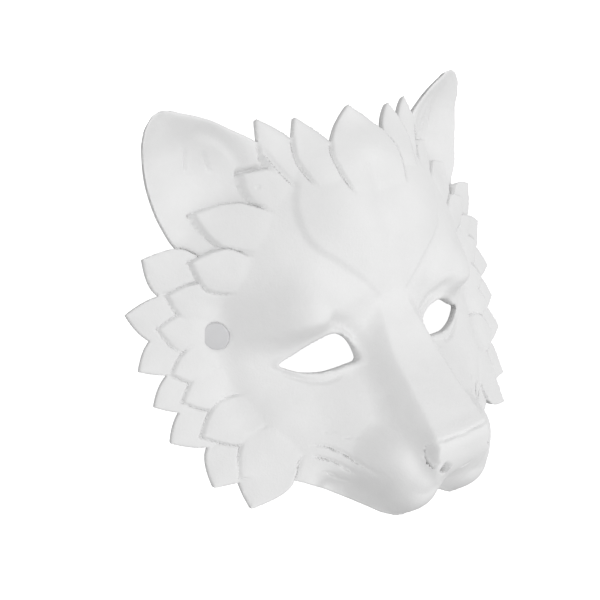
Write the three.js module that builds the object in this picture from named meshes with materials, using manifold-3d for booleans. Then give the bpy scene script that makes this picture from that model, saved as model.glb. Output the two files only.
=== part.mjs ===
// A half mask of an animal with a mane, moulded in one piece, lying face up on the edge of its mane.
// Millimetres. X runs across the face, Y up to the crown and Z out of the face.
// The left and right halves are alike, so every table gives one half, with x as the distance from the middle.

import * as THREE from 'three';
import { mergeVertices } from 'three/addons/utils/BufferGeometryUtils.js';
import Module from 'manifold-3d';

const wasm = await Module();
wasm.setup();

// Moulding
const WALL = 3.0;              // thickness of the face, square to its surface
const EAR_WALL = 3.2;          // thickness of an ear
const TUFT_ROOT = 2.4;         // depth of a tuft below the face where it starts
const TUFT_BACK = 0.9;         // share of a tuft's rise that its back follows
const TUFT_DIP = 0.9;          // how far a tuft's root starts inside the face
const TUFT_CROWN = 0.7;        // round of a tuft across its width
const STEEPEST = 2.2;          // most that a slope may deepen the wall, measured along Z

// Strap rivets at the temples
const RIVET_AT = [66.3, 2.6];  // place of the rivet on one half
const RIVET_HEAD = 5.5;        // radius of the head that shows
const RIVET_BACK = 4.8;        // radius of the head inside
const RIVET_SHANK = 2.0;       // radius of the shank through the wall
const HEAD_THICK = 1.7;        // thickness of the head that shows
const BACK_THICK = 1.4;        // thickness of the head inside
const SEAT_WALL = 2.2;         // wall left between the two seats
const SEAT_DEEP = 0.5;         // depth of the front seat in the face
const FIT = 0.3;               // gap between a rivet and the wall

// Heights of the face across its sections, at these distances from the middle
const ACROSS = [0, 20, 40, 60, 80, 100];
const SECTIONS = [
  { y: -92, heights: [40.0, 38.0, 31.0, 21.0, 11.0, 1.2] },
  { y: -78, heights: [52.0, 53.0, 39.0, 22.0, 9.0, -1.8] },
  { y: -65, heights: [57.0, 58.5, 41.0, 22.5, 7.5, -4.8] },
  { y: -50, heights: [57.0, 56.0, 39.5, 23.0, 7.6, -6.8] },
  { y: -35, heights: [52.0, 50.5, 35.5, 23.0, 7.6, -6.8] },
  { y: -20, heights: [47.0, 42.0, 33.0, 21.5, 7.6, -7.4] },
  { y: -5, heights: [51.0, 45.0, 35.0, 21.5, 7.9, -6.2] },
  { y: 15, heights: [58.0, 52.0, 40.0, 25.0, 9.4, -7.0] },
  { y: 35, heights: [62.0, 57.0, 44.0, 27.5, 11.4, -3.8] },
  { y: 55, heights: [59.0, 55.0, 41.5, 22.5, 11.0, -0.8] },
  { y: 75, heights: [47.8, 46.2, 39.0, 20.5, 13.0, 2.2] },
  { y: 95, heights: [35.5, 35.5, 33.0, 20.0, 14.0, 2.2] },
];

// The raised forehead: half its width, and how far it stands off the temples
const FOREHEAD = [
  { y: -14, half: -6.0, rise: 0.0 },
  { y: -6, half: 2.0, rise: 0.6 },
  { y: 3, half: 7.8, rise: 0.9 },
  { y: 11, half: 14.8, rise: 1.2 },
  { y: 19, half: 22.9, rise: 1.4 },
  { y: 27, half: 30.6, rise: 1.5 },
  { y: 37, half: 33.8, rise: 1.5 },
  { y: 48, half: 33.2, rise: 1.4 },
  { y: 55, half: 30.5, rise: 0.7 },
  { y: 62, half: 28.0, rise: 0.0 },
  { y: 95, half: 20.0, rise: 0.0 },
];
const FOREHEAD_EDGE = 2.2;     // width of the step around the forehead

// The snout and nose: height of the flat top, half its width and how steeply its sides fall
const SNOUT = [
  { y: -92, top: 40.0, half: 5.0, side: 2.3 },
  { y: -78, top: 58.0, half: 6.0, side: 2.3 },
  { y: -70, top: 69.8, half: 11.8, side: 3.6 },
  { y: -62, top: 75.8, half: 12.6, side: 4.4 },
  { y: -56, top: 77.8, half: 12.1, side: 4.0 },
  { y: -48, top: 73.8, half: 10.8, side: 2.6 },
  { y: -35, top: 66.0, half: 9.8, side: 2.2 },
  { y: -20, top: 58.0, half: 9.0, side: 2.2 },
  { y: -6, top: 53.0, half: 7.0, side: 2.2 },
  { y: 8, top: 46.0, half: 5.0, side: 2.2 },
];
const SNOUT_EDGE = 3.0;        // round of the snout's long edges
const SNOUT_BLEND = 5.0;       // blend of the snout into the face

// Round pads beside and under the nose
const PADS = [
  { name: 'muzzle', x: 18, y: -62, wide: 12, tall: 14, top: 66.2, drop: 14, fall: 1.3, band: 14 },
  { name: 'lip', x: 12.8, y: -68, wide: 15, tall: 20, top: 65.4, drop: 16, fall: 1.6, band: 6 },
  { name: 'lip root', x: 13.5, y: -69, wide: 9, tall: 9, top: 68.2, drop: 10, fall: 1.2, band: 4 },
];
const LIP_CLEFT = { deep: 2.2, wide: 2.2, from: -70, to: -76 };
const LIP_ROLL = { deep: 10.0, reach: 18, from: 24, to: 34 };
const MUZZLE_ROLL = { deep: 5.5, reach: 26, from: 18, to: 30 };

// Round swells of the face, with their reach towards the middle, outwards, up and down
const SWELLS = [
  { name: 'forehead', x: 18, y: 30, inner: 13, outer: 13, above: 20, below: 20, high: 2.6 },
  { name: 'temple', x: 39.5, y: 0.3, inner: 13.5, outer: 17, above: 21, below: 7.2, high: 16.5 },
  { name: 'cheek', x: 50, y: -36, inner: 15, outer: 15, above: 12, below: 12, high: 3.0 },
];

// Long ridges and folds of the face, along a line
const FOLDS = [
  { name: 'brow', line: [[30, 3], [24, 4], [15, 5]], wide: 5.5, high: 1.6 },
  { name: 'eyelid', line: [[28.5, -1.3], [22.2, -5], [18, -10], [14.5, -17]], wide: 2.4, high: -2.8 },
  { name: 'furrow', line: [[0, 50], [0, 4]], wide: 8.0, high: -2.6 },
  { name: 'furrow top', line: [[0, 55], [0, 44]], wide: 4.0, high: -0.8 },
  {
    name: 'mane valley',
    line: [[64, 14], [65, 4], [65.5, -4], [66.5, -14], [66, -24], [63, -34]],
    wide: 6.0,
    high: -2.5,
  },
];

// Edge of the face under the tufts and ears, from the crown down to the cleft of the lip
const SIDE_EDGE = [
  [0, 62], [12, 62], [24, 60], [33, 56], [40, 50], [48, 44], [58, 39], [66, 34], [74, 24], [80, 12],
  [82, 0], [81, -12], [79, -24], [74, -36], [69, -46], [61, -57], [54.5, -63],
];
const LIP_EDGE = [
  [50, -65.5], [43.3, -70.4], [35.3, -76.8], [28.8, -82.2], [24, -86.4], [19.2, -89.2], [14.5, -90.3],
  [9, -89.3], [4, -86], [0, -83.2],
];

// Edge of an eye hole
const EYE_EDGE = [
  [47.5, -15], [42, -12.3], [36.6, -9.6], [30.6, -7.6], [24.7, -8], [20.2, -11.2], [18.2, -16], [18.5, -21],
  [23.2, -21.9], [28.3, -22.4], [33.4, -22.3], [39.8, -20.6], [44.5, -18],
];

// Tufts of the mane: where each starts and points, half its width and how far its tip stands off the face
const TUFTS = [
  { row: 'outer', root: [67, 24], tip: [86.8, 40.6], half: 10.2, rise: 5.0 },
  { row: 'outer', root: [71, 9], tip: [97, 20], half: 10.2, rise: 4.5 },
  { row: 'outer', root: [73, 4], tip: [97.6, -4.6], half: 8.9, rise: 4.0 },
  { row: 'outer', root: [71, -13.5], tip: [95.4, -20.8], half: 9.3, rise: 4.0 },
  { row: 'outer', root: [68, -28.5], tip: [93.2, -37.2], half: 9.8, rise: 4.5 },
  { row: 'outer', root: [63, -40], tip: [82.3, -59.5], half: 10.1, rise: 5.0 },
  { row: 'outer', root: [54, -46.5], tip: [71.4, -71.2], half: 10.0, rise: 5.5 },
  { row: 'inner', root: [51, 22.5], tip: [71.2, 34.6], half: 8.8, rise: 4.4 },
  { row: 'inner', root: [60, 12], tip: [81.4, 24], half: 8.3, rise: 3.8 },
  { row: 'inner', root: [65, 2.5], tip: [86.8, 11.2], half: 8.8, rise: 3.2 },
  { row: 'inner', root: [65, -6.5], tip: [86.2, -8.8], half: 8.1, rise: 3.2 },
  { row: 'inner', root: [62, -17.5], tip: [84.9, -21.2], half: 8.6, rise: 3.6 },
  { row: 'inner', root: [56, -31.5], tip: [81.6, -37.2], half: 10.0, rise: 4.0 },
  { row: 'inner', root: [49, -43.5], tip: [72, -57.6], half: 10.3, rise: 3.8 },
  { row: 'ear', root: [31, 48], tip: [45.8, 64], half: 7.4, rise: 0.8 },
  { row: 'ear', root: [40, 36], tip: [65, 53.4], half: 9.3, rise: 3.4 },
  { row: 'crown', root: [26, 51.5], tip: [36.4, 83.2], half: 6.6, rise: 2.8 },
  { row: 'crown', root: [17, 47], tip: [22.6, 80.2], half: 7.6, rise: 4.4 },
  { row: 'middle', root: [0, 40], tip: [0, 80.8], half: 15.0, rise: 6.0 },
];
const TUFT_SHOULDER = 0.5;     // share of a tuft's length where it starts to narrow
const TUFT_POINT = 1.7;        // round of the sides towards the point
const TUFT_NECK = 0.35;        // share of the width lost at the root

// An ear, along its axis from the foot: widths and heights of its inner and outer edges, and its hollow
const EAR_FOOT = [54, 44];
const EAR_TIP = [72.6, 92.4];
const EAR = [
  { along: -14, inner: 20.0, outer: 18.5, innerZ: 46.0, outerZ: 20.0, cup: 0.0 },
  { along: 5, inner: 25.6, outer: 18.8, innerZ: 44.0, outerZ: 17.5, cup: 0.0 },
  { along: 18, inner: 26.6, outer: 18.4, innerZ: 42.5, outerZ: 17.2, cup: 1.2 },
  { along: 24, inner: 24.8, outer: 17.2, innerZ: 41.5, outerZ: 18.0, cup: 1.8 },
  { along: 31, inner: 20.4, outer: 15.4, innerZ: 40.4, outerZ: 19.8, cup: 1.4 },
  { along: 40, inner: 13.9, outer: 11.8, innerZ: 40.0, outerZ: 23.6, cup: 1.0 },
  { along: 47, inner: 7.2, outer: 8.2, innerZ: 37.6, outerZ: 29.4, cup: 0.4 },
  { along: 50.4, inner: 3.8, outer: 4.8, innerZ: 36.2, outerZ: 33.0, cup: 0.1 },
  { along: 52, inner: 0.8, outer: 1.6, innerZ: 35.8, outerZ: 35.2, cup: 0.0 },
];
const EAR_SWEEP = 4.0;         // how fast the ear's hollow falls away from its inner band
const EAR_BAND = 3.4;          // how level the band along its inner edge is
const EAR_JOIN = [2, 16];      // stretch of the axis where the ear leaves the face
const EAR_SINK = 1.5;          // depth of the ear's foot inside the face

// Facets
const FACE_X = [0, 4, 8, 11.5, 15, 19, 23.5, 28, 33, 38.5, 44, 50, 56, 62, 69, 76, 84];
const FACE_Y_STEP = 5.0;
const FACE_Y = [-94, 66];
const TUFT_S = [0, 0.3, 0.5, 0.7, 0.87, 1];
const TUFT_Q = [-1, -0.45, 0.45, 1];
const EAR_ROWS = 12;
const EAR_COLS = 8;

const clamp = (v, a, b) => Math.min(Math.max(v, a), b);

const step = (a, b, v) => {
  const u = clamp((v - a) / (b - a), 0, 1);
  return u * u * (3 - 2 * u);
};

const bell = (v) => Math.exp(-v * v);

// The larger of two heights, blended over a band
const blend = (a, b, band) => {
  const h = Math.max(band - Math.abs(a - b), 0) / band;
  return Math.max(a, b) + h * h * band / 4;
};

// A smooth curve through knots in rising order
function curve(knots, values, at) {
  const last = knots.length - 1;
  const v = clamp(at, knots[0], knots[last]);
  let i = 0;
  while (i < last - 1 && v > knots[i + 1]) {
    i += 1;
  }
  const slope = (k) => (values[k + 1] - values[k]) / (knots[k + 1] - knots[k]);
  const tangent = (k) => {
    if (k === 0) {
      return slope(0);
    }
    if (k === last) {
      return slope(last - 1);
    }
    const before = knots[k] - knots[k - 1];
    const after = knots[k + 1] - knots[k];
    return (slope(k - 1) * after + slope(k) * before) / (before + after);
  };
  const w = knots[i + 1] - knots[i];
  const u = (v - knots[i]) / w;
  const u2 = u * u;
  const u3 = u2 * u;
  return (2 * u3 - 3 * u2 + 1) * values[i] + (u3 - 2 * u2 + u) * w * tangent(i)
    + (3 * u2 - 2 * u3) * values[i + 1] + (u3 - u2) * w * tangent(i + 1);
}

const column = (table, key, name) => {
  const knots = table.map((row) => row[key]);
  const values = table.map((row) => row[name]);
  return (at) => curve(knots, values, at);
};

// Distance from a point to an open line
function lineDistance(x, y, line) {
  let best = Infinity;
  for (let i = 0; i + 1 < line.length; i += 1) {
    const [ax, ay] = line[i];
    const dx = line[i + 1][0] - ax;
    const dy = line[i + 1][1] - ay;
    const t = clamp(((x - ax) * dx + (y - ay) * dy) / (dx * dx + dy * dy), 0, 1);
    best = Math.min(best, Math.hypot(x - ax - t * dx, y - ay - t * dy));
  }
  return best;
}

const foreheadHalf = column(FOREHEAD, 'y', 'half');
const foreheadRise = column(FOREHEAD, 'y', 'rise');
const snoutTop = column(SNOUT, 'y', 'top');
const snoutHalf = column(SNOUT, 'y', 'half');
const snoutSide = column(SNOUT, 'y', 'side');
const sectionY = SECTIONS.map((row) => row.y);
const mirrorAcross = [-ACROSS[1], ...ACROSS];

// Front height of the face, without tufts or ears
function faceHeight(xSigned, y) {
  const x = Math.abs(xSigned);
  const heights = SECTIONS.map((row) => curve(mirrorAcross, [row.heights[1], ...row.heights], x));
  let z = curve(sectionY, heights, y);

  const lean = foreheadHalf(y + 0.5) - foreheadHalf(y - 0.5);
  const inside = (foreheadHalf(y) - x) / Math.hypot(1, lean);
  z += foreheadRise(y) * step(-0.3, FOREHEAD_EDGE, inside);

  for (const s of SWELLS) {
    const across = (x - s.x) / (x < s.x ? s.inner : s.outer);
    const upward = (y - s.y) / (y > s.y ? s.above : s.below);
    z += s.high * bell(across) * bell(upward);
  }
  for (const f of FOLDS) {
    z += f.high * bell(lineDistance(x, y, f.line) / f.wide);
  }

  const over = Math.max(x - snoutHalf(y), 0);
  z = blend(z, snoutTop(y) - snoutSide(y) * over * over / (over + SNOUT_EDGE), SNOUT_BLEND);

  for (const pad of PADS) {
    const r = ((x - pad.x) / pad.wide) ** 2 + ((y - pad.y) / pad.tall) ** 2;
    z = blend(z, pad.top - pad.drop * r ** pad.fall, pad.band);
  }
  z -= LIP_CLEFT.deep * bell(x / LIP_CLEFT.wide) * step(LIP_CLEFT.from, LIP_CLEFT.to, y);

  const toLip = lineDistance(x, y, LIP_EDGE);
  const roll = step(LIP_ROLL.reach, 0, toLip) ** 1.5;
  z -= LIP_ROLL.deep * roll * step(LIP_ROLL.from, LIP_ROLL.to, x) * step(50, 36, x) * step(-60, -72, y);
  const under = step(MUZZLE_ROLL.reach, 0, toLip) * step(MUZZLE_ROLL.from, MUZZLE_ROLL.to, x);
  return z - MUZZLE_ROLL.deep * under * step(52, 38, x) * step(-50, -66, y);
}

// Wall depth along Z that keeps the wall's thickness square to a sloping face
function wallDepth(x, y) {
  const gx = (faceHeight(x + 1.5, y) - faceHeight(x - 1.5, y)) / 3;
  const gy = (faceHeight(x, y + 1.5) - faceHeight(x, y - 1.5)) / 3;
  return WALL * Math.min(Math.hypot(1, gx, gy), STEEPEST);
}

const earAxis = new THREE.Vector2(EAR_TIP[0] - EAR_FOOT[0], EAR_TIP[1] - EAR_FOOT[1]).normalize();
const earColumn = (name) => column(EAR, 'along', name);
const earInner = earColumn('inner');
const earOuter = earColumn('outer');
const earInnerZ = earColumn('innerZ');
const earOuterZ = earColumn('outerZ');
const earCup = earColumn('cup');

// A point on the front of an ear: along its axis, and across it from the inner edge (0) to the outer (1)
function earPoint(along, u, side) {
  const q = u * (earInner(along) + earOuter(along)) - earInner(along);
  const x = EAR_FOOT[0] + along * earAxis.x + q * earAxis.y;
  const y = EAR_FOOT[1] + along * earAxis.y - q * earAxis.x;
  const fall = (1 - u) ** EAR_SWEEP * (1 + EAR_BAND * u);
  const slope = (earInnerZ(along) - earOuterZ(along)) * fall;
  const hollow = earOuterZ(along) + slope - earCup(along) * 6.4 * u * u * (1 - u);
  const free = step(EAR_JOIN[0], EAR_JOIN[1], along);
  const z = hollow * free + Math.min(hollow + 30, faceHeight(x, y) - EAR_SINK) * (1 - free);
  return new THREE.Vector3(side * x, y, z);
}

// A tuft's half width along its length
function tuftHalf(s, half) {
  if (s > TUFT_SHOULDER) {
    return half * (1 - ((s - TUFT_SHOULDER) / (1 - TUFT_SHOULDER)) ** TUFT_POINT);
  }
  return half * (1 - TUFT_NECK * ((TUFT_SHOULDER - s) / TUFT_SHOULDER) ** 2);
}

// A point of a tuft: along it, across it from -1 to 1, on its front or its back
function tuftPoint(tuft, s, q, side, front) {
  const dx = tuft.tip[0] - tuft.root[0];
  const dy = tuft.tip[1] - tuft.root[1];
  const length = Math.hypot(dx, dy);
  const off = q * Math.max(tuftHalf(s, tuft.half), 0.25);
  const x = tuft.root[0] + s * dx - off * dy / length;
  const y = tuft.root[1] + s * dy + off * dx / length;
  const rise = tuft.rise * s ** 1.1 - TUFT_DIP * (1 - s) ** 2;
  const crown = TUFT_CROWN * (1 - q * q) * step(0, 0.35, s);
  const z = faceHeight(x, y) + (front ? rise + crown : tuft.rise * TUFT_BACK * s * s - TUFT_ROOT);
  return new THREE.Vector3(side * x, y, z);
}

// A closed solid from the vertices and triangles of a mesh
function solidOf(positions, triangles) {
  const mesh = new wasm.Mesh({
    numProp: 3,
    vertProperties: new Float32Array(positions),
    triVerts: new Uint32Array(triangles),
  });
  return new wasm.Manifold(mesh);
}

function solidOfGeometry(geometry) {
  const bare = geometry.clone();
  bare.deleteAttribute('normal');
  bare.deleteAttribute('uv');
  const merged = mergeVertices(bare, 1e-4);
  return solidOf(merged.attributes.position.array, merged.index.array);
}

// A closed slab between a front and a back sheet of the same rows and columns
function slab(rows, cols, front, back) {
  const positions = [];
  for (const sheet of [front, back]) {
    for (let i = 0; i < rows; i += 1) {
      for (let j = 0; j < cols; j += 1) {
        positions.push(...sheet(i, j).toArray());
      }
    }
  }
  const triangles = [];
  const count = rows * cols;
  const quad = (a, b, c, d) => triangles.push(a, b, c, a, c, d);
  const at = (i, j) => i * cols + j;
  for (let i = 0; i + 1 < rows; i += 1) {
    for (let j = 0; j + 1 < cols; j += 1) {
      quad(at(i, j), at(i, j + 1), at(i + 1, j + 1), at(i + 1, j));
      quad(count + at(i, j), count + at(i + 1, j), count + at(i + 1, j + 1), count + at(i, j + 1));
    }
  }
  const wall = (a, b) => quad(a, count + a, count + b, b);
  for (let j = 0; j + 1 < cols; j += 1) {
    wall(at(0, j), at(0, j + 1));
    wall(at(rows - 1, j + 1), at(rows - 1, j));
  }
  for (let i = 0; i + 1 < rows; i += 1) {
    wall(at(i + 1, 0), at(i, 0));
    wall(at(i, cols - 1), at(i + 1, cols - 1));
  }
  const first = front(0, 0);
  const right = front(0, cols - 1).clone().sub(first);
  const up = front(rows - 1, 0).clone().sub(first);
  if (right.cross(up).z < 0) {
    for (let k = 0; k < triangles.length; k += 3) {
      const keep = triangles[k];
      triangles[k] = triangles[k + 1];
      triangles[k + 1] = keep;
    }
  }
  return solidOf(positions, triangles);
}

// A prism along Z on an outline in the XY plane
function prism(outline, from, to) {
  const shape = new THREE.Shape(outline.map(([x, y]) => new THREE.Vector2(x, y)));
  const geometry = new THREE.ExtrudeGeometry(shape, { depth: to - from, bevelEnabled: false });
  geometry.translate(0, 0, from);
  return solidOfGeometry(geometry);
}

// A round piece about a line that starts at a point on the temple and runs along the wall's normal
function turned(profile, seat, segments) {
  const points = profile.map(([r, h]) => new THREE.Vector2(r, h));
  const geometry = new THREE.LatheGeometry(points, segments);
  geometry.rotateX(Math.PI / 2);
  geometry.applyQuaternion(seat.turn);
  geometry.translate(seat.point.x, seat.point.y, seat.point.z);
  return solidOfGeometry(geometry);
}

// The rivet's seat on one half: its point at the bottom of the front seat, and its turn from Z to the normal
function rivetSeat(side) {
  const [x, y] = RIVET_AT;
  const gx = (faceHeight(x + 4, y) - faceHeight(x - 4, y)) / 8;
  const gy = (faceHeight(x, y + 4) - faceHeight(x, y - 4)) / 8;
  const normal = new THREE.Vector3(-gx * side, -gy, 1).normalize();
  const point = new THREE.Vector3(side * x, y, faceHeight(x, y)).addScaledVector(normal, -SEAT_DEEP);
  const turn = new THREE.Quaternion().setFromUnitVectors(new THREE.Vector3(0, 0, 1), normal);
  return { point, turn };
}

// The face: a sheet with a wall, trimmed to its edge
const faceColumns = [...FACE_X.slice(1).reverse().map((x) => -x), ...FACE_X];
const faceRowCount = Math.round((FACE_Y[1] - FACE_Y[0]) / FACE_Y_STEP) + 1;
const faceRow = (i) => FACE_Y[0] + (FACE_Y[1] - FACE_Y[0]) * i / (faceRowCount - 1);
const sheetPoint = (i, j, deep) => {
  const x = faceColumns[j];
  const y = faceRow(i);
  return new THREE.Vector3(x, y, faceHeight(x, y) - (deep ? wallDepth(x, y) : 0));
};
const halfEdge = [...SIDE_EDGE, ...LIP_EDGE];
const mirroredEdge = halfEdge.slice(1, -1).reverse().map(([x, y]) => [-x, y]);
const faceEdge = [...halfEdge, ...mirroredEdge];
const sheetFront = (i, j) => sheetPoint(i, j, false);
const sheetBack = (i, j) => sheetPoint(i, j, true);
let shell = slab(faceRowCount, faceColumns.length, sheetFront, sheetBack);
shell = shell.intersect(prism(faceEdge, -60, 120));

// Ears and tufts, joined to the face
for (const side of [-1, 1]) {
  const alongAt = (i) => EAR[0].along + (EAR[EAR.length - 1].along - EAR[0].along) * i / EAR_ROWS;
  const earSheet = (drop) => (i, j) => {
    const p = earPoint(alongAt(i), j / EAR_COLS, side);
    p.z -= drop;
    return p;
  };
  shell = shell.add(slab(EAR_ROWS + 1, EAR_COLS + 1, earSheet(0), earSheet(EAR_WALL)));
  for (const tuft of TUFTS) {
    if (tuft.row === 'middle' && side < 0) {
      continue;
    }
    const sheet = (front) => (i, j) => tuftPoint(tuft, TUFT_S[i], TUFT_Q[j], side, front);
    shell = shell.add(slab(TUFT_S.length, TUFT_Q.length, sheet(true), sheet(false)));
  }
}

// Eye holes, rivet seats and rivet holes
const holeProfile = [[0, -20], [RIVET_SHANK + FIT, -20], [RIVET_SHANK + FIT, 20], [0, 20]];
const frontSeat = [[0, 0], [RIVET_HEAD + FIT, 0], [RIVET_HEAD + FIT, 8], [0, 8]];
const backSeat = [
  [0, -SEAT_WALL - 8], [RIVET_BACK + FIT, -SEAT_WALL - 8], [RIVET_BACK + FIT, -SEAT_WALL], [0, -SEAT_WALL],
];
for (const side of [-1, 1]) {
  const edge = EYE_EDGE.map(([x, y]) => new THREE.Vector2(side * x, y));
  const outline = new THREE.SplineCurve([...edge, edge[0]]).getPoints(36).slice(0, -1);
  shell = shell.subtract(prism(outline.map((p) => [p.x, p.y]), 0, 90));
  for (const profile of [frontSeat, backSeat, holeProfile]) {
    shell = shell.subtract(turned(profile, rivetSeat(side), 28));
  }
}

// A rivet: a flat round head outside, a shank, and a flat head inside
const rivetProfile = [
  [0, -SEAT_WALL - FIT - BACK_THICK],
  [RIVET_BACK - 0.3, -SEAT_WALL - FIT - BACK_THICK],
  [RIVET_BACK, -SEAT_WALL - FIT - BACK_THICK + 0.3],
  [RIVET_BACK, -SEAT_WALL - FIT],
  [RIVET_SHANK, -SEAT_WALL - FIT],
  [RIVET_SHANK, FIT],
  [RIVET_HEAD, FIT],
  [RIVET_HEAD, FIT + HEAD_THICK * 0.45],
  [RIVET_HEAD - 0.5, FIT + HEAD_THICK * 0.85],
  [RIVET_HEAD - 1.4, FIT + HEAD_THICK],
  [0, FIT + HEAD_THICK],
];

function meshOf(name, solid, material) {
  const { vertProperties, triVerts } = solid.getMesh();
  const geometry = new THREE.BufferGeometry();
  geometry.setAttribute('position', new THREE.BufferAttribute(new Float32Array(vertProperties), 3));
  geometry.setIndex(new THREE.BufferAttribute(new Uint32Array(triVerts), 1));
  geometry.computeVertexNormals();
  const mesh = new THREE.Mesh(geometry, material);
  mesh.name = name;
  return mesh;
}

const foam = new THREE.MeshStandardMaterial({ color: 0xf1f1ef, roughness: 0.85, metalness: 0 });
const plastic = new THREE.MeshStandardMaterial({ color: 0xd9d9d8, roughness: 0.35, metalness: 0 });

const mask = new THREE.Group();
mask.add(meshOf('mask_shell', shell, foam));
mask.add(meshOf('strap_rivet_left', turned(rivetProfile, rivetSeat(-1), 28), plastic));
mask.add(meshOf('strap_rivet_right', turned(rivetProfile, rivetSeat(1), 28), plastic));

// The origin is under the middle of the mask, on the surface that the mane lies on
const box = new THREE.Box3().setFromObject(mask, true);
mask.position.set(-(box.min.x + box.max.x) / 2, -(box.min.y + box.max.y) / 2, -box.min.z);
mask.updateMatrixWorld(true);

export default mask;
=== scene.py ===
import math

import bpy
import numpy as np
from mathutils import Matrix, Vector


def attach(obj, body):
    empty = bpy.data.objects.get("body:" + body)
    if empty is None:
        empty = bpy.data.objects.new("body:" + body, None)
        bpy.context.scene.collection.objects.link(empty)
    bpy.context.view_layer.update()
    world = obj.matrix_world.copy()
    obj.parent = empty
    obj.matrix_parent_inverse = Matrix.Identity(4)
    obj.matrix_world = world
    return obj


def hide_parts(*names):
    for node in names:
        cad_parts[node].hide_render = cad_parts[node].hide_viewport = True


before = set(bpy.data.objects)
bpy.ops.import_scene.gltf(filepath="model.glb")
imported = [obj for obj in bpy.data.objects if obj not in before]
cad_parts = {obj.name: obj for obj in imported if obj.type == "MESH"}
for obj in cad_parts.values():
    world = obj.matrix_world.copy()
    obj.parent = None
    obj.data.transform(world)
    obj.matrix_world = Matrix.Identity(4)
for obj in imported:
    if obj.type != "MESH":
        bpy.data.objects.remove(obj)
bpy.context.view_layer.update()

# A white foam half mask of an animal with a mane, lying face up.
# Sizes are in millimetres in the mould's frame: X across the face, Y up to the crown, Z out of the face.
# The halves are alike, so the tables give one half, with x as the distance from the middle.
# The row's origin is on the surface under the mask, and the mould is moved there.
MOULD_TO_ROW = (0.0, -1.263, 3.348)
MM = 0.001

# Moulding: walls, how many times thicker a slope may make them, and the rounding of the edges
WALL = 3.0
EAR_WALL = 3.2
LEAST_WALL = 1.2
STEEPEST = 2.2
EDGE_ROUND = 0.8
EDGE_DROP = 0.8

# Strap rivets at the temples, and their seats
RIVET_AT = (66.3, 2.6)
RIVET_HEAD = 5.5
RIVET_BACK = 4.8
RIVET_SHANK = 2.0
HEAD_THICK = 1.7
BACK_THICK = 1.4
SEAT_WALL = 2.2
SEAT_DEEP = 0.5
SEAT_SPAN = 4
FIT = 0.3
SHANK_ROOM = 1.4

# Rims of the rivet's heads, out from the head's radius and off its flat,
# and the foot of the front head, out from its radius and over the face round its seat
BACK_RIM = ((-0.4, 0.0), (-0.1, 0.1), (0.0, 0.4))
HEAD_FOOT = ((0.0, 0.15), (0.32, 0.3))
HEAD_RIM = ((0.32, 0.5), (0.2, 0.2), (-0.1, 0.03), (-0.5, 0.0))
RIVET_SIDES = 72
RIVET_SHARP = 40

# Heights of the face across its sections, at these distances from the middle
ACROSS = (0, 20, 40, 60, 80, 100)
SECTIONS = (
    # y, heights
    (-92, (40.0, 38.0, 31.0, 21.0, 11.0, 1.2)),
    (-78, (52.0, 53.0, 39.0, 22.0, 9.0, -1.8)),
    (-65, (57.0, 58.5, 41.0, 22.5, 7.5, -4.8)),
    (-50, (57.0, 56.0, 39.5, 23.0, 7.6, -6.8)),
    (-35, (52.0, 50.5, 35.5, 23.0, 7.6, -6.8)),
    (-20, (47.0, 42.0, 33.0, 21.5, 7.6, -7.4)),
    (-5, (51.0, 45.0, 35.0, 21.5, 7.9, -6.2)),
    (15, (58.0, 52.0, 40.0, 25.0, 9.4, -7.0)),
    (35, (62.0, 57.0, 44.0, 27.5, 11.4, -3.8)),
    (55, (59.0, 55.0, 41.5, 22.5, 11.0, -0.8)),
    (75, (47.8, 46.2, 39.0, 20.5, 13.0, 2.2)),
    (95, (35.5, 35.5, 33.0, 20.0, 14.0, 2.2)),
)

# The raised forehead: half its width, how far it stands off the temples, and where its edge starts and ends
FOREHEAD = (
    # y, half, rise
    (-14, -6.0, 0.0),
    (-6, 2.0, 0.6),
    (3, 7.8, 0.9),
    (11, 14.8, 1.2),
    (19, 22.9, 1.4),
    (27, 30.6, 1.5),
    (37, 33.8, 1.5),
    (48, 33.2, 1.4),
    (55, 30.5, 0.7),
    (62, 28.0, 0.0),
    (95, 20.0, 0.0),
)
FOREHEAD_EDGE = (-0.3, 2.2)

# The snout and nose: height of the flat top, half its width and how steeply its sides fall
SNOUT = (
    # y, top, half, side
    (-92, 40.0, 5.0, 2.3),
    (-78, 58.0, 6.0, 2.3),
    (-70, 69.8, 11.8, 3.6),
    (-62, 75.8, 12.6, 4.4),
    (-56, 77.8, 12.1, 4.0),
    (-48, 73.8, 10.8, 2.6),
    (-35, 66.0, 9.8, 2.2),
    (-20, 58.0, 9.0, 2.2),
    (-6, 53.0, 7.0, 2.2),
    (8, 46.0, 5.0, 2.2),
)
SNOUT_EDGE = 3.0
SNOUT_BLEND = 5.0

# Round pads beside and under the nose: muzzle, lip, and the root of the lip
PADS = (
    # x, y, wide, tall, top, drop, fall, blend
    (18, -62, 12, 14, 66.2, 14, 1.3, 14),
    (12.8, -68, 15, 20, 65.4, 16, 1.6, 6),
    (13.5, -69, 9, 9, 68.2, 10, 1.2, 4),
)

# The cleft of the lip, and how the lip and the muzzle roll in to the lip's edge
LIP_CLEFT = dict(deep=2.2, wide=2.2, down=(-70, -76))
ROLLS = (
    # deep, reach, bend, start across, end across, down
    (10.0, 18, 1.5, (24, 34), (50, 36), (-60, -72)),
    (5.5, 26, 1.0, (18, 30), (52, 38), (-50, -66)),
)

# Round swells of the face, with their reach towards the middle, outwards, up and down:
# forehead, temple, cheek
SWELLS = (
    # x, y, inner, outer, above, below, high
    (18, 30, 13, 13, 20, 20, 2.6),
    (39.5, 0.3, 13.5, 17, 21, 7.2, 16.5),
    (50, -36, 15, 15, 12, 12, 3.0),
)

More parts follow.
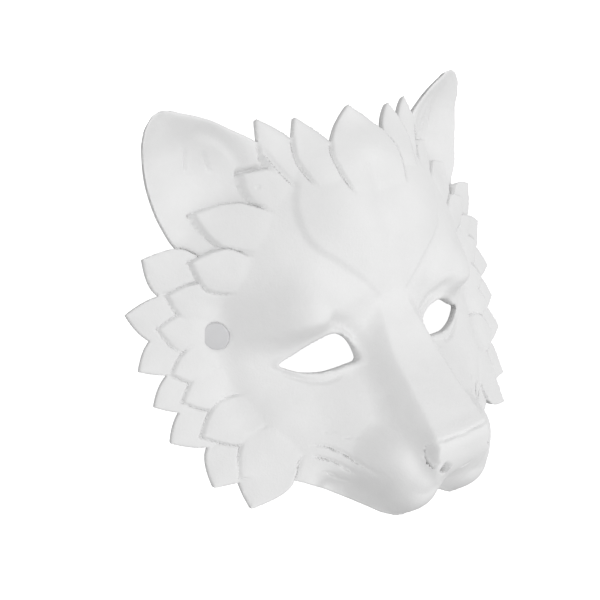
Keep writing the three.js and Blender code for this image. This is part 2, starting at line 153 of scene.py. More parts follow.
# Long ridges and folds of the face, along a line: brow, fold over the eye, furrow of the forehead
# and its top, and the valley where the mane starts
FOLDS = (
    # line, wide, high
    (((30, 3), (24, 4), (15, 5)), 5.5, 1.6),
    (((28.5, -1.3), (22.2, -5), (18.0, -10), (14.5, -17)), 2.4, -2.8),
    (((0, 50), (0, 4)), 8.0, -2.6),
    (((0, 55), (0, 44)), 4.0, -0.8),
    (((64, 14), (65, 4), (65.5, -4), (66.5, -14), (66, -24), (63, -34)), 6.0, -2.5),
)

# Edge of the face under the tufts and ears, from the crown down to the cleft of the lip,
# and the corners that close it past the middle
SIDE_EDGE = (
    (0, 62), (12, 62), (24, 60), (33, 56), (40, 50), (48, 44), (58, 39), (66, 34), (74, 24), (80, 12),
    (82, 0), (81, -12), (79, -24), (74, -36), (69, -46), (61, -57), (54.5, -63),
)
LIP_EDGE = (
    (50, -65.5), (43.3, -70.4), (35.3, -76.8), (28.8, -82.2), (24, -86.4), (19.2, -89.2), (14.5, -90.3),
    (9, -89.3), (4, -86), (0, -83.2),
)
PAST_MIDDLE = ((-9, -86), (-9, 62))

# Edge of an eye hole, and the soft swell of the lids a little off it
EYE_EDGE = (
    (47.5, -15), (42, -12.3), (36.6, -9.6), (30.6, -7.6), (24.7, -8), (20.2, -11.2), (18.2, -16),
    (18.5, -21), (23.2, -21.9), (28.3, -22.4), (33.4, -22.3), (39.8, -20.6), (44.5, -18),
)
LID = dict(high=0.9, off=0.9, wide=1.2)

# Tufts of the mane: where each starts, where it points, half its width
# and how far its tip stands off the face
TUFTS = (
    # root, tip, half, rise
    ((67, 24), (86.8, 40.6), 10.2, 5.0),
    ((71, 9), (97, 20), 10.2, 4.5),
    ((73, 4), (97.6, -4.6), 8.9, 4.0),
    ((71, -13.5), (95.4, -20.8), 9.3, 4.0),
    ((68, -28.5), (93.2, -37.2), 9.8, 4.5),
    ((63, -40), (82.3, -59.5), 10.1, 5.0),
    ((54, -46.5), (71.4, -71.2), 10.0, 5.5),
    ((51, 22.5), (71.2, 34.6), 8.8, 4.4),
    ((60, 12), (81.4, 24), 8.3, 3.8),
    ((65, 2.5), (86.8, 11.2), 8.8, 3.2),
    ((65, -6.5), (86.2, -8.8), 8.1, 3.2),
    ((62, -17.5), (84.9, -21.2), 8.6, 3.6),
    ((56, -31.5), (81.6, -37.2), 10.0, 4.0),
    ((49, -43.5), (72, -57.6), 10.3, 3.8),
    ((31, 48), (45.8, 64), 7.4, 0.8),
    ((40, 36), (65, 53.4), 9.3, 3.4),
    ((26, 51.5), (36.4, 83.2), 6.6, 2.8),
    ((17, 47), (22.6, 80.2), 7.6, 4.4),
    ((0, 40), (0, 80.8), 15.0, 6.0),
)
# Form of a tuft: its thickness and dip at the root, the rise of its back and crown, and its outline
TUFT_ROOT = 2.4
TUFT_DIP = 0.9
TUFT_BACK = 0.9
TUFT_LIFT = 1.1
TUFT_CROWN = 0.7
CROWN_START = 0.35
TUFT_SHOULDER = 0.5
TUFT_POINT = 1.7
TUFT_NECK = 0.35
TUFT_TIP = 0.05
TUFT_MARGIN = 2
# The gap pressed beside a tuft that stands over its neighbour, fading out at the mask's edge
TUFT_GAP = dict(wide=0.8, deep=3.0, soft=0.24, over=(-0.3, 0.6), off_edge=(0.4, 1.6))

# An ear, along its axis from the foot: widths and heights of its inner and outer edges, and its hollow
EAR_FOOT = (54, 44)
EAR_TIP = (72.6, 92.4)
EAR = (
    # along, inner, outer, inner_z, outer_z, cup
    (-14, 20.0, 18.5, 46.0, 20.0, 0.0),
    (5, 25.6, 18.8, 44.0, 17.5, 0.0),
    (18, 26.6, 18.4, 42.5, 17.2, 1.2),
    (24, 24.8, 17.2, 41.5, 18.0, 1.8),
    (31, 20.4, 15.4, 40.4, 19.8, 1.4),
    (40, 13.9, 11.8, 40.0, 23.6, 1.0),
    (47, 7.2, 8.2, 37.6, 29.4, 0.4),
    (50.4, 3.8, 4.8, 36.2, 33.0, 0.1),
    (52, 0.8, 1.6, 35.8, 35.2, 0.0),
)
EAR_SWEEP = 4.0
EAR_BAND = 3.4
EAR_CUP = 6.4
EAR_JOIN = (2, 16)
EAR_SINK = 1.5
EAR_CLIMB = 30

# Soft lines pressed in the front: marks of the nostrils, the fold under the eye,
# and marks and folds of the ear and its foot
CREASES = (
    # line, wide, deep_left, deep_right
    (((10.8, -64.9), (8.6, -66.7), (6.2, -68.4)), 1.2, 9.0, 0.0),
    (((1, -70.8), (3.2, -70.3), (5.2, -68.8)), 0.5, 0.0, 0.9),
    (((50.9, -14.9), (44.3, -20.8), (37.4, -25.2), (31.0, -26.3), (25.7, -24.6)), 0.8, 1.3, 1.3),
    (((62.4, 79.6), (62.5, 76), (62.8, 70.2)), 0.5, 1.0, 1.0),
    (((56.6, 76.7), (55.2, 72), (53.7, 68)), 0.5, 1.0, 1.0),
    (((60, 84.4), (56.2, 82.4), (52, 79.6), (48.9, 76.6), (46.4, 73), (44.9, 69.2), (44, 63)),
     2.2, 1.7, 1.0),
    (((46.2, 65.8), (43.4, 64.8), (40.9, 64.5), (38.4, 64.3)), 1.0, 4.0, 0.6),
    (((42.5, 57.6), (42.1, 56.9), (41.8, 56.2)), 0.5, 0.8, 0.0),
)
# Lines with one sharp wall: the wing of the nose, the line across it, whiskers, and a tuft's edge by the ear.
# Each falls towards its line from the right of the way it runs.
CUTS = (
    # line, wide, deep
    (((14.1, -54.4), (15, -56.8), (15.5, -58.8), (15.4, -61.2), (14.6, -63.4), (13.7, -65)), 2.7, 4.6),
    (((13, -54.2), (9, -54.6), (5, -54.9), (0, -55.1), (-5, -54.9)), 1.3, 1.0),
    (((46, -50.1), (41.1, -51.7), (38.2, -53.7), (35.6, -56.2), (33.6, -58.9), (31.6, -61.9), (28, -66.3)),
     1.4, 1.8),
    (((46, -55.1), (42.8, -56.4), (39.7, -58.5), (36.8, -61.4), (32.2, -66.5)), 1.4, 1.8),
    (((43.3, -62.4), (39.8, -64.7), (36.7, -68), (33.4, -70.2)), 1.2, 1.3),
    (((40.6, -45.6), (38, -46.4), (35.8, -47.4)), 1.1, 0.6),
    (((34.8, -49.7), (32.2, -49.9), (29.4, -50.8)), 1.1, 0.7),
    (((38.2, 71.3), (36.4, 66.5), (35, 62.8), (33.4, 58.9), (32, 55.7), (30.2, 51.8)), 1.6, 1.5),
)
CUT_WALL = (-0.2, 0.1)
LINE_REACH = 4
LINE_FADE = 4
CURVE_PARTS = 6

# Mesh of the shell: its grid in millimetres, how much finer it is worked out, and how it is smoothed
PITCH = 0.54
FINE = 2
SPAN = dict(across=101, low=-94, high=97)
FRONT_SOFT = 0.32
BACK_SOFT = 1.3
SOFT_REACH = 3
LEAST_SHARE = 1e-6
LEAST_LEAN = 0.3
# Points up to this share of a step outside the edge are kept, and are moved to it by this share at most
RIM_TAKE = 0.5
RIM_MOVE = 0.8
RIM_LEAN = 0.25
# Cells joined to one face, where the front bends less than this, and all over the back
CALM = 0.012
FRONT_BLOCK = 2
BACK_BLOCK = 4
SHELL_SHARP = 55


# Shape
def step(a, b, v):
    u = np.clip((v - a) / (b - a), 0, 1)
    return u * u * (3 - 2 * u)


def bell(v):
    return np.exp(-v * v)


def blend(a, b, band):
    h = np.maximum(band - np.abs(a - b), 0) / band
    return np.maximum(a, b) + h * h * band / 4


def shares(knots, at):
    """Share of each knot's value in a smooth curve, at each place."""
    knots = np.asarray(knots, float)
    at = np.clip(np.ravel(at), knots[0], knots[-1])
    gap = np.diff(knots)
    one = np.eye(len(knots))
    slope = np.diff(one, axis=0) / gap[:, None]
    inner = (slope[:-1] * gap[1:, None] + slope[1:] * gap[:-1, None]) / (gap[1:] + gap[:-1])[:, None]
    tangent = np.vstack([slope[:1], inner, slope[-1:]])
    i = np.clip(np.searchsorted(knots, at) - 1, 0, len(knots) - 2)
    w = gap[i][:, None]
    u = (at - knots[i])[:, None] / w
    u2 = u * u
    u3 = u2 * u
    share = (2 * u3 - 3 * u2 + 1) * one[i] + (u3 - 2 * u2 + u) * w * tangent[i]
    return share + (3 * u2 - 2 * u3) * one[i + 1] + (u3 - u2) * w * tangent[i + 1]


def column(table, index):
    """A column of a table as a smooth curve over its first column."""
    knots = [row[0] for row in table]
    values = np.array([row[index] for row in table], float)
    return lambda at: (shares(knots, at) @ values).reshape(np.shape(at))


def line_distance(x, y, line):
    best = np.full(np.shape(x), np.inf)
    for (ax, ay), (bx, by) in zip(line, line[1:]):
        dx, dy = bx - ax, by - ay
        t = np.clip(((x - ax) * dx + (y - ay) * dy) / (dx * dx + dy * dy), 0, 1)
        best = np.minimum(best, np.hypot(x - ax - t * dx, y - ay - t * dy))
    return best


def within(x, y, edge):
    """Distance inside a closed edge, negative outside it."""
    odd = np.zeros(np.shape(x), bool)
    closed = list(edge) + [edge[0]]
    for (ax, ay), (bx, by) in zip(closed, closed[1:]):
        if ay != by:
            cross = (y >= min(ay, by)) & (y < max(ay, by))
            odd ^= cross & (x < ax + (y - ay) * (bx - ax) / (by - ay))
    return np.where(odd, 1, -1) * line_distance(x, y, closed)


def rounded(edge):
    """A closed edge drawn through its points as a smooth curve."""
    p = np.array(edge, float)
    out = []
    for a, b, c, d in zip(np.roll(p, 1, 0), p, np.roll(p, -1, 0), np.roll(p, -2, 0)):
        for k in range(CURVE_PARTS):
            t = k / CURVE_PARTS
            out.append(0.5 * (2 * b + (c - a) * t + (2 * a - 5 * b + 4 * c - d) * t * t
                              + (3 * b - a - 3 * c + d) * t ** 3))
    return [tuple(q) for q in out]


def along_line(x, y, line):
    """Distance to the right of a smooth line, and the share of its length passed."""
    knots = np.arange(len(line))
    at = np.linspace(0, knots[-1], CURVE_PARTS * knots[-1] + 1)
    points = shares(knots, at) @ np.array(line, float)
    best = np.full(np.shape(x), np.inf)
    right = np.zeros(np.shape(x))
    passed = np.zeros(np.shape(x))
    for k, (a, b) in enumerate(zip(points, points[1:])):
        d = b - a
        t = np.clip(((x - a[0]) * d[0] + (y - a[1]) * d[1]) / (d @ d), 0, 1)
        far = np.hypot(x - a[0] - t * d[0], y - a[1] - t * d[1])
        right = np.where(far < best, (x - a[0]) * d[1] - (y - a[1]) * d[0], right)
        passed = np.where(far < best, (k + t) / (len(points) - 1), passed)
        best = np.minimum(best, far)
    return np.where(right < 0, -best, best), passed


def stroke(x, y, line, wide, sharp=False):
    """Share of depth of a line pressed in the front, fading to its ends: even or with one sharp wall."""
    depth = np.zeros(np.shape(x))
    low = np.min(line, axis=0) - LINE_REACH * wide
    high = np.max(line, axis=0) + LINE_REACH * wide
    near = (x > low[0]) & (x < high[0]) & (y > low[1]) & (y < high[1])
    right, passed = along_line(x[near], y[near], line)
    form = bell(right / wide)
    if sharp:
        form = np.clip(1 - right / wide, 0, 1) * step(*CUT_WALL, right)
    depth[near] = form * (1 - (2 * passed - 1) ** LINE_FADE)
    return depth


forehead_half, forehead_rise = (column(FOREHEAD, i) for i in (1, 2))
snout_top, snout_half, snout_side = (column(SNOUT, i) for i in (1, 2, 3))
ear_inner, ear_outer, ear_inner_z, ear_outer_z, ear_cup = (column(EAR, i) for i in range(1, 6))


def face_height(x, y):
    """Front height of the face, without tufts or ears."""
    x = np.abs(x)
    knots = (-ACROSS[1],) + ACROSS
    heights = np.array([(row[1][1],) + row[1] for row in SECTIONS])
    along = shares([row[0] for row in SECTIONS], y) @ heights
    z = (along * shares(knots, x)).sum(1).reshape(np.shape(x))

    lean = forehead_half(y + 0.5) - forehead_half(y - 0.5)
    inside = (forehead_half(y) - x) / np.hypot(1, lean)
    z = z + forehead_rise(y) * step(*FOREHEAD_EDGE, inside)
    for sx, sy, inner, outer, above, below, high in SWELLS:
        across = (x - sx) / np.where(x < sx, inner, outer)
        z = z + high * bell(across) * bell((y - sy) / np.where(y > sy, above, below))
    for line, wide, high in FOLDS:
        z = z + high * bell(line_distance(x, y, line) / wide)

    over = np.maximum(x - snout_half(y), 0)
    z = blend(z, snout_top(y) - snout_side(y) * over * over / (over + SNOUT_EDGE), SNOUT_BLEND)
    for px, py, wide, tall, top, drop, fall, band in PADS:
        pad = ((x - px) / wide) ** 2 + ((y - py) / tall) ** 2
        z = blend(z, top - drop * pad ** fall, band)
    z = z - LIP_CLEFT["deep"] * bell(x / LIP_CLEFT["wide"]) * step(*LIP_CLEFT["down"], y)
    lip = line_distance(x, y, LIP_EDGE)
    for deep, reach, bend, start, end, down in ROLLS:
        z = z - deep * step(reach, 0, lip) ** bend * step(*start, x) * step(*end, x) * step(*down, y)
    return z


def ear(x, y, face):
    """Front height of an ear, and distance inside its edge."""
    axis = np.subtract(EAR_TIP, EAR_FOOT) / math.dist(EAR_TIP, EAR_FOOT)
    along = (x - EAR_FOOT[0]) * axis[0] + (y - EAR_FOOT[1]) * axis[1]
    q = (x - EAR_FOOT[0]) * axis[1] - (y - EAR_FOOT[1]) * axis[0]
    width = ear_inner(along) + ear_outer(along)
    u = np.clip((q + ear_inner(along)) / width, 0, 1)
    fall = (1 - u) ** EAR_SWEEP * (1 + EAR_BAND * u)
    hollow = ear_outer_z(along) + (ear_inner_z(along) - ear_outer_z(along)) * fall
    hollow = hollow - ear_cup(along) * EAR_CUP * u * u * (1 - u)
    free = step(*EAR_JOIN, along)
    z = hollow * free + np.minimum(hollow + EAR_CLIMB, face - EAR_SINK) * (1 - free)
    inside = np.minimum(q + ear_inner(along), ear_outer(along) - q)
    return z, np.minimum(inside, np.minimum(EAR[-1][0] - along, along - EAR[0][0]))


def tuft(x, y, face, root, tip, half, rise):
    """Front and back heights of a tuft, and distance inside its edge."""
    length = math.dist(root, tip)
    dx, dy = (tip[0] - root[0]) / length, (tip[1] - root[1]) / length
    s = ((x - root[0]) * dx + (y - root[1]) * dy) / length
    off = np.abs((y - root[1]) * dx - (x - root[0]) * dy)
    t = np.clip(s, 0, 1)
    point = np.clip((t - TUFT_SHOULDER) / (1 - TUFT_SHOULDER), 0, 1) ** TUFT_POINT
    neck = np.clip((TUFT_SHOULDER - t) / TUFT_SHOULDER, 0, 1) ** 2
    wide = np.maximum(half * (1 - point) * (1 - TUFT_NECK * neck), TUFT_TIP)
    crown = TUFT_CROWN * np.clip(1 - (off / wide) ** 2, 0, 1) * step(0, CROWN_START, t)
    front = face + rise * t ** TUFT_LIFT - TUFT_DIP * (1 - t) ** 2 + crown
    back = face + rise * TUFT_BACK * t * t - TUFT_ROOT
    return front, back, np.minimum(wide - off, np.minimum(s, 1 - s) * length)


def rivet_seat():
    """Bottom of the front seat of a rivet on one half, and the wall's normal there."""
    x, y = RIVET_AT
    s = SEAT_SPAN
    at = face_height(np.array([x, x + s, x - s, x, x]), np.array([y, y, y, y + s, y - s]))
    normal = Vector(((at[2] - at[1]) / (2 * s), (at[4] - at[3]) / (2 * s), 1)).normalized()
    return Vector((x, y, at[0])) - normal * SEAT_DEEP, normal


def half_relief(x, y):
    """Front and back heights of one half, distance inside its edge, and the gaps beside its tufts."""
    face = face_height(x, y)
    rows, cols = np.gradient(face, y[1, 0] - y[0, 0], x[0, 1] - x[0, 0])
    deep = WALL * np.minimum(np.sqrt(1 + rows ** 2 + cols ** 2), STEEPEST)
    inside = within(x, y, SIDE_EDGE + LIP_EDGE + PAST_MIDDLE)
    front = np.where(inside > 0, face, -np.inf)
    back = np.where(inside > 0, face - deep, np.inf)

    z, room = ear(x, y, face)
    front = np.where(room > 0, np.maximum(front, z), front)
    back = np.where(room > 0, np.minimum(back, z - EAR_WALL), back)
    inside = np.maximum(inside, room)
    leaves = []
    for root, tip, half, rise in TUFTS:
        reach = half + TUFT_MARGIN
        i = (y[:, 0] > min(root[1], tip[1]) - reach) & (y[:, 0] < max(root[1], tip[1]) + reach)
        j = (x[0] > min(root[0], tip[0]) - reach) & (x[0] < max(root[0], tip[0]) + reach)
        part = np.ix_(i, j)
        top, under, room = tuft(x[part], y[part], face[part], root, tip, half, rise)
        front[part] = np.where(room > 0, np.maximum(front[part], top), front[part])
        back[part] = np.where(room > 0, np.minimum(back[part], under), back[part])
        inside[part] = np.maximum(inside[part], room)
        leaves.append((part, top, room))
    gap = np.zeros(np.shape(x))
    for part, top, room in leaves:
        beside = step(-TUFT_GAP["wide"], 0, room) * (room <= 0)
        gap[part] = np.maximum(gap[part], beside * step(*TUFT_GAP["over"], top - front[part]))
    return front, back, inside, gap


def softened(field, mask, width):
    """A field smoothed over a width in grid steps, from the points of a mask alone."""
    reach = int(math.ceil(width * SOFT_REACH))
    taps = np.exp(-0.5 * (np.arange(-reach, reach + 1) / width) ** 2)
    taps /= taps.sum()

    def pass_over(a):
        for axis in (0, 1):
            pad = [(0, 0), (0, 0)]
            pad[axis] = (reach, reach)
            wide = np.pad(a, pad, mode="edge")
            size = a.shape[axis]
            a = sum(w * np.take(wide, np.arange(k, k + size), axis) for k, w in enumerate(taps))
        return a

    share = pass_over(mask.astype(float))
    return pass_over(np.where(mask, field, 0.0)) / np.maximum(share, LEAST_SHARE)


# Meshes
def shell_grid():
    """Places, front, back and distance inside the edge of the whole shell, on an even grid."""
    fine = PITCH / FINE
    across = np.arange(0, SPAN["across"], fine)
    up = np.arange(SPAN["low"], SPAN["high"], fine)
    x, y = np.meshgrid(across, up)
    front, back, inside, gap = half_relief(x, y)
    lid = -within(x, y, rounded(EYE_EDGE))
    inside = np.minimum(inside, lid)

    seat, normal = rivet_seat()
    dx, dy = x - seat.x, y - seat.y
    plane = seat.z - (normal.x * dx + normal.y * dy) / normal.z
    aside = np.sqrt(dx ** 2 + dy ** 2 + (plane - seat.z) ** 2)
    front = np.where(aside < RIVET_HEAD - FIT, plane, front)
    back = np.where(aside < RIVET_BACK + FIT, plane - SEAT_WALL / normal.z, back)
    inside = np.minimum(inside, np.hypot(dx, dy) - RIVET_SHANK - SHANK_ROOM)

    halves = (y, front, back, inside, lid, gap)
    y, front, back, inside, lid, gap = (np.hstack([a[:, :0:-1], a]) for a in halves)
    half = np.hstack([x[:, :0:-1], x])
    x = np.hstack([-x[:, :0:-1], x])
    solid = np.isfinite(front)
    front = softened(front, solid, FRONT_SOFT / fine)
    back = softened(back, solid, BACK_SOFT / fine)
    gap = softened(gap, solid, TUFT_GAP["soft"] / fine)
    front = front - TUFT_GAP["deep"] * gap * step(*TUFT_GAP["off_edge"], inside)
    front = front + LID["high"] * bell((lid - LID["off"]) / LID["wide"])
    for line, wide, deep_left, deep_right in CREASES:
        front = front - stroke(half, y, line, wide) * np.where(x < 0, deep_left, deep_right)
    for line, wide, deep in CUTS:
        front = front - stroke(half, y, line, wide, sharp=True) * deep

    rows, cols = np.gradient(inside, fine, fine)
    inside = inside / np.maximum(np.hypot(rows, cols), LEAST_LEAN)
    near = np.clip(EDGE_ROUND - inside, 0, EDGE_ROUND)
    front = front - (EDGE_ROUND - np.sqrt(np.maximum(EDGE_ROUND ** 2 - near ** 2, 0))) * EDGE_DROP
    back = np.minimum(back, front - LEAST_WALL)
    take = (slice(None, None, FINE), slice(x.shape[1] // 2 % FINE, None, FINE))
    return [a[take] for a in (x, y, front, back, inside)]


def whole_cells(points):
    """Cells of a grid with all four of their points set."""
    return points[:-1, :-1] & points[:-1, 1:] & points[1:, :-1] & points[1:, 1:]


def joined(keep, merge, size):
    """Faces of a grid sheet, with whole blocks of cells joined where merge says so."""
    rows, cols = keep.shape
    wide = cols + 1
    down, over = rows // size, cols // size
    blocks = keep[:down * size, :over * size].reshape(down, size, over, size).all((1, 3))
    blocks &= merge[:down * size, :over * size].reshape(down, size, over, size).all((1, 3))
    left = keep.copy()
    left[:down * size, :over * size] &= ~np.repeat(np.repeat(blocks, size, 0), size, 1)
    i, j = np.nonzero(left)
    at = i * wide + j
    faces = np.stack([at, at + 1, at + wide + 1, at + wide], 1).tolist()
    ring = np.pad(blocks, 1)
    for bi, bj in zip(*np.nonzero(blocks)):
        a = bi * size * wide + bj * size
        corners = (a, a + size, a + size * wide + size, a + size * wide)
        steps = (1, wide, -1, -wide)
        beside = (ring[bi, bj + 1], ring[bi + 1, bj + 2], ring[bi + 2, bj + 1], ring[bi + 1, bj])
        face = []
        for corner, move, other in zip(corners, steps, beside):
            face.append(int(corner))
            if not other:
                face.extend(int(corner + move * k) for k in range(1, size))
        faces.append(face)
    return faces


def smooth_mesh(name, points, faces, sharp):
    """A smooth mesh, with sharp edges where it bends by more than an angle in degrees."""
    mesh = bpy.data.meshes.new(name)
    mesh.from_pydata(points, [], faces)
    mesh.validate()
    mesh.polygons.foreach_set("use_smooth", [True] * len(mesh.polygons))
    mesh.set_sharp_from_angle(angle=math.radians(sharp))
    return mesh


def shell_mesh():
    """The shell as a front and a back sheet with a rim between them, its points moved to the edge."""
    x, y, front, back, inside = shell_grid()
    keep = whole_cells(inside > -RIM_TAKE * PITCH)
    count = x.size
    wide = x.shape[1]

    ring = np.pad(keep, 1)
    i, j = np.nonzero(keep)
    at = i * wide + j
    sides = (
        (~ring[i, j + 1], at, at + 1),
        (~ring[i + 1, j + 2], at + 1, at + wide + 1),
        (~ring[i + 2, j + 1], at + wide + 1, at + wide),
        (~ring[i + 1, j], at + wide, at),
    )
    rim = np.concatenate([np.stack([a[open_], b[open_]], 1) for open_, a, b in sides])

    rows, cols = np.gradient(inside, PITCH, PITCH)
    lean = np.maximum(rows ** 2 + cols ** 2, RIM_LEAN)
    edge = np.unique(rim)
    move = np.clip(inside.flat[edge] / lean.flat[edge], -RIM_MOVE * PITCH, RIM_MOVE * PITCH)
    px, py = x.ravel().copy(), y.ravel().copy()
    px[edge] -= move * cols.flat[edge]
    py[edge] -= move * rows.flat[edge]

    curl = np.zeros(x.shape)
    curl[1:-1, 1:-1] = (np.abs(front[2:, 1:-1] + front[:-2, 1:-1] - 2 * front[1:-1, 1:-1])
                        + np.abs(front[1:-1, 2:] + front[1:-1, :-2] - 2 * front[1:-1, 1:-1]))
    faces = joined(keep, whole_cells(curl < CALM), FRONT_BLOCK)
    under = joined(keep, np.ones_like(keep), BACK_BLOCK)
    faces += [[v + count for v in reversed(f)] for f in under]
    faces += np.stack([rim[:, 1], rim[:, 0], rim[:, 0] + count, rim[:, 1] + count], 1).tolist()

    heights = np.concatenate([front.ravel(), back.ravel()])
    points = np.stack([np.tile(px, 2), np.tile(py, 2), heights], 1)
    used = np.zeros(len(points), bool)
    used[np.fromiter((v for f in faces for v in f), int)] = True
    points = (points[used] + MOULD_TO_ROW) * MM
    lookup = (np.cumsum(used) - 1).tolist()
    faces = [[lookup[v] for v in f] for f in faces]
    return smooth_mesh("mask_foam", points.tolist(), faces, SHELL_SHARP)


def rivet_mesh(name, side):
    """A rivet turned about its shank: a flat head outside with a rounded rim, and a flat head inside."""
    low = -SEAT_WALL - FIT
    end = low - BACK_THICK
    top = FIT + HEAD_THICK
    profile = [(0.0, end)]
    profile += [(RIVET_BACK + out, end + off) for out, off in BACK_RIM]
    profile += [(RIVET_BACK, low), (RIVET_SHANK, low), (RIVET_SHANK, FIT), (RIVET_HEAD, FIT)]
    profile += [(RIVET_HEAD + out, SEAT_DEEP + off) for out, off in HEAD_FOOT]
    profile += [(RIVET_HEAD + out, top - off) for out, off in HEAD_RIM]
    profile += [(0.0, top)]
    seat, normal = rivet_seat()
    seat.x *= side
    normal.x *= side
    turn = Vector((0, 0, 1)).rotation_difference(normal).to_matrix()
    points, faces = [], []
    for radius, height in profile:
        ring = 1 if radius == 0 else RIVET_SIDES
        for k in range(ring):
            a = 2 * math.pi * k / RIVET_SIDES
            p = seat + turn @ Vector((radius * math.cos(a), radius * math.sin(a), height))
            points.append((p + Vector(MOULD_TO_ROW)) * MM)
    start = 0
    for (r0, _), (r1, _) in zip(profile, profile[1:]):
        n0 = 1 if r0 == 0 else RIVET_SIDES
        n1 = 1 if r1 == 0 else RIVET_SIDES
        for k in range(RIVET_SIDES):
            a, b = start + k % n0, start + (k + 1) % n0
            c, d = start + n0 + (k + 1) % n1, start + n0 + k % n1
            face = [a, b, c, d]
            if n0 == 1:
                face = [a, c, d]
            elif n1 == 1:
                face = [a, b, c]
            faces.append(face)
        start += n0
    return smooth_mesh(name, points, faces, RIVET_SHARP)


def place(mesh, node, material):
    obj = bpy.data.objects.new(mesh.name, mesh)
    bpy.context.scene.collection.objects.link(obj)
    mesh.materials.append(material)
    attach(obj, "root")
    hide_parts(node)


# Materials
BLOTCH = dict(Scale=55, Detail=5, Roughness=0.6)
BLOTCH_ENDS = (0.3, 0.7)
GRAIN_DETAIL = 3
SPECULAR = 0.3


def material(name, tones, roughness, grains, depth):
    """A moulded finish: two tones in soft blotches, and grains as (size in mm, share of the bump)."""
    mat = bpy.data.materials.new(name)
    mat.use_nodes = True
    nodes, links = mat.node_tree.nodes, mat.node_tree.links
    bsdf = nodes["Principled BSDF"]
    where = nodes.new("ShaderNodeTexCoord")

    blotch = nodes.new("ShaderNodeTexNoise")
    for socket, value in BLOTCH.items():
        blotch.inputs[socket].default_value = value
    links.new(where.outputs["Object"], blotch.inputs["Vector"])
    ramp = nodes.new("ShaderNodeValToRGB")
    for element, end, tone in zip(ramp.color_ramp.elements, BLOTCH_ENDS, tones):
        element.position = end
        element.color = (*tone, 1)
    links.new(blotch.outputs["Fac"], ramp.inputs["Fac"])
    links.new(ramp.outputs["Color"], bsdf.inputs["Base Color"])

    rough = nodes.new("ShaderNodeMapRange")
    rough.inputs["To Min"].default_value = roughness[0]
    rough.inputs["To Max"].default_value = roughness[1]
    links.new(blotch.outputs["Fac"], rough.inputs["Value"])
    links.new(rough.outputs["Result"], bsdf.inputs["Roughness"])

    last = None
    for size, share in grains:
        noise = nodes.new("ShaderNodeTexNoise")
        noise.inputs["Scale"].default_value = 1 / (size * MM)
        noise.inputs["Detail"].default_value = GRAIN_DETAIL
        links.new(where.outputs["Object"], noise.inputs["Vector"])
        bump = nodes.new("ShaderNodeBump")
        bump.inputs["Strength"].default_value = share
        bump.inputs["Distance"].default_value = depth
        links.new(noise.outputs["Fac"], bump.inputs["Height"])
        if last:
            links.new(last.outputs["Normal"], bump.inputs["Normal"])
        last = bump
    links.new(last.outputs["Normal"], bsdf.inputs["Normal"])
    bsdf.inputs["Specular IOR Level"].default_value = SPECULAR
    return mat


foam = material(
    "white_foam",
    tones=((0.77, 0.77, 0.77), (0.80, 0.80, 0.80)),
    roughness=(0.62, 0.75),
    grains=((0.9, 0.25), (5.0, 0.5)),
    depth=0.0004,
)
plastic = material(
    "grey_plastic",
    tones=((0.60, 0.60, 0.61), (0.65, 0.65, 0.66)),
    roughness=(0.35, 0.45),
    grains=((0.6, 0.2), (3.0, 0.2)),
    depth=0.0002,
)
paper = material(
    "pale_paper",
    tones=((0.50, 0.50, 0.50), (0.53, 0.53, 0.53)),
    roughness=(0.8, 0.9),
    grains=((2.0, 0.1),),
    depth=0.0001,
)

place(shell_mesh(), "mask_shell", foam)
place(rivet_mesh("rivet_left", -1), "strap_rivet_left", plastic)
place(rivet_mesh("rivet_right", 1), "strap_rivet_right", plastic)

# Floor, light of a white tent round the mask, and camera; sizes in metres
FLOOR = dict(half=3, z=-0.0002, glow=0.95)
TENT = (
    # towards, strength
    ((0, 0, 1), 0.64),
    ((1, 0, 0), 1.05),
    ((0, 1, 0), 0.33),
    ((-1, 0, 1), 0.975),
    ((0, -1, 1), 0.47),
    ((1, 1, 0.7), 0.16),
)
TENT_SPREAD = 2
CAMERA = dict(
    lens=42,
    sensor=36,
    near=0.01,
    spot=(-0.1587, 0.0318, 0.2942),
    right=(0.8653, -0.2421, 0.4390),
    back=(-0.4332, 0.0796, 0.8978),
)


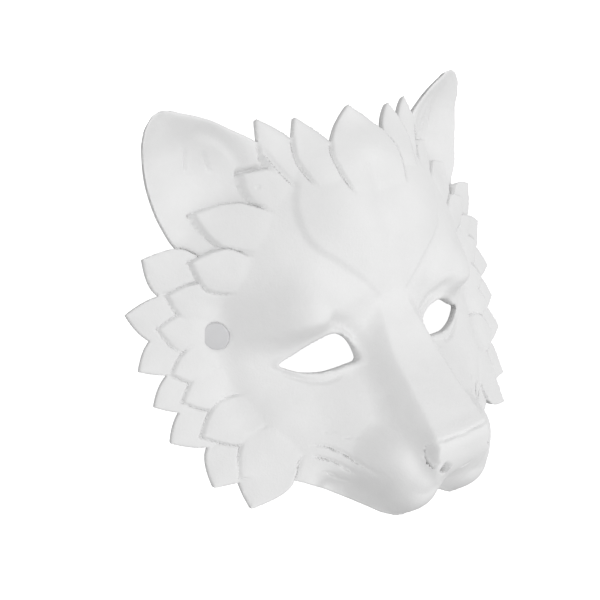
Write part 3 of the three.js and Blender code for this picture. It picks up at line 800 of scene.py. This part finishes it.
def lay_floor():
    half, z = FLOOR["half"], FLOOR["z"]
    corners = [(-half, -half, z), (half, -half, z), (half, half, z), (-half, half, z)]
    mesh = bpy.data.meshes.new("floor")
    mesh.from_pydata(corners, [], [(0, 1, 2, 3)])
    floor = bpy.data.objects.new("floor", mesh)
    bpy.context.scene.collection.objects.link(floor)
    bsdf = paper.node_tree.nodes["Principled BSDF"]
    bsdf.inputs["Emission Color"].default_value = (1, 1, 1, 1)
    bsdf.inputs["Emission Strength"].default_value = FLOOR["glow"]
    mesh.materials.append(paper)
    floor.visible_diffuse = False
    floor.visible_glossy = False


def maths(tree, kind, operation, source, *values):
    """A maths node fed by a socket, with values on its other inputs."""
    node = tree.nodes.new(kind)
    node.operation = operation
    tree.links.new(source, node.inputs[0])
    for k, value in enumerate(values):
        node.inputs[k + 1].default_value = value
    return node


def light_tent():
    world = bpy.data.worlds.new("studio")
    bpy.context.scene.world = world
    world.use_nodes = True
    tree = world.node_tree
    sky = tree.nodes["Background"]
    sky.inputs["Color"].default_value = (1, 1, 1, 1)
    where = tree.nodes.new("ShaderNodeTexCoord").outputs["Generated"]
    total = None
    for towards, strength in TENT:
        facing = maths(tree, "ShaderNodeVectorMath", "DOT_PRODUCT", where, Vector(towards).normalized())
        above = maths(tree, "ShaderNodeMath", "MAXIMUM", facing.outputs["Value"], 0)
        lobe = maths(tree, "ShaderNodeMath", "POWER", above.outputs["Value"], TENT_SPREAD)
        added = maths(tree, "ShaderNodeMath", "MULTIPLY_ADD", lobe.outputs["Value"], strength, 0)
        if total:
            tree.links.new(total.outputs["Value"], added.inputs[2])
        total = added
    tree.links.new(total.outputs["Value"], sky.inputs["Strength"])


def set_camera():
    data = bpy.data.cameras.new("camera")
    data.lens = CAMERA["lens"]
    data.sensor_width = CAMERA["sensor"]
    data.clip_start = CAMERA["near"]
    data.dof.use_dof = False
    camera = bpy.data.objects.new("camera", data)
    bpy.context.scene.collection.objects.link(camera)
    right = Vector(CAMERA["right"]).normalized()
    back = Vector(CAMERA["back"]).normalized()
    up = back.cross(right).normalized()
    right = up.cross(back)
    turn = Matrix((right, up, back)).transposed().to_4x4()
    spot = Vector(CAMERA["spot"]) + Vector(MOULD_TO_ROW) * MM
    camera.matrix_world = Matrix.Translation(spot) @ turn
    bpy.context.scene.camera = camera


bpy.context.scene.view_settings.view_transform = "Standard"
lay_floor()
light_tent()
set_camera()

bpy.context.view_layer.update()
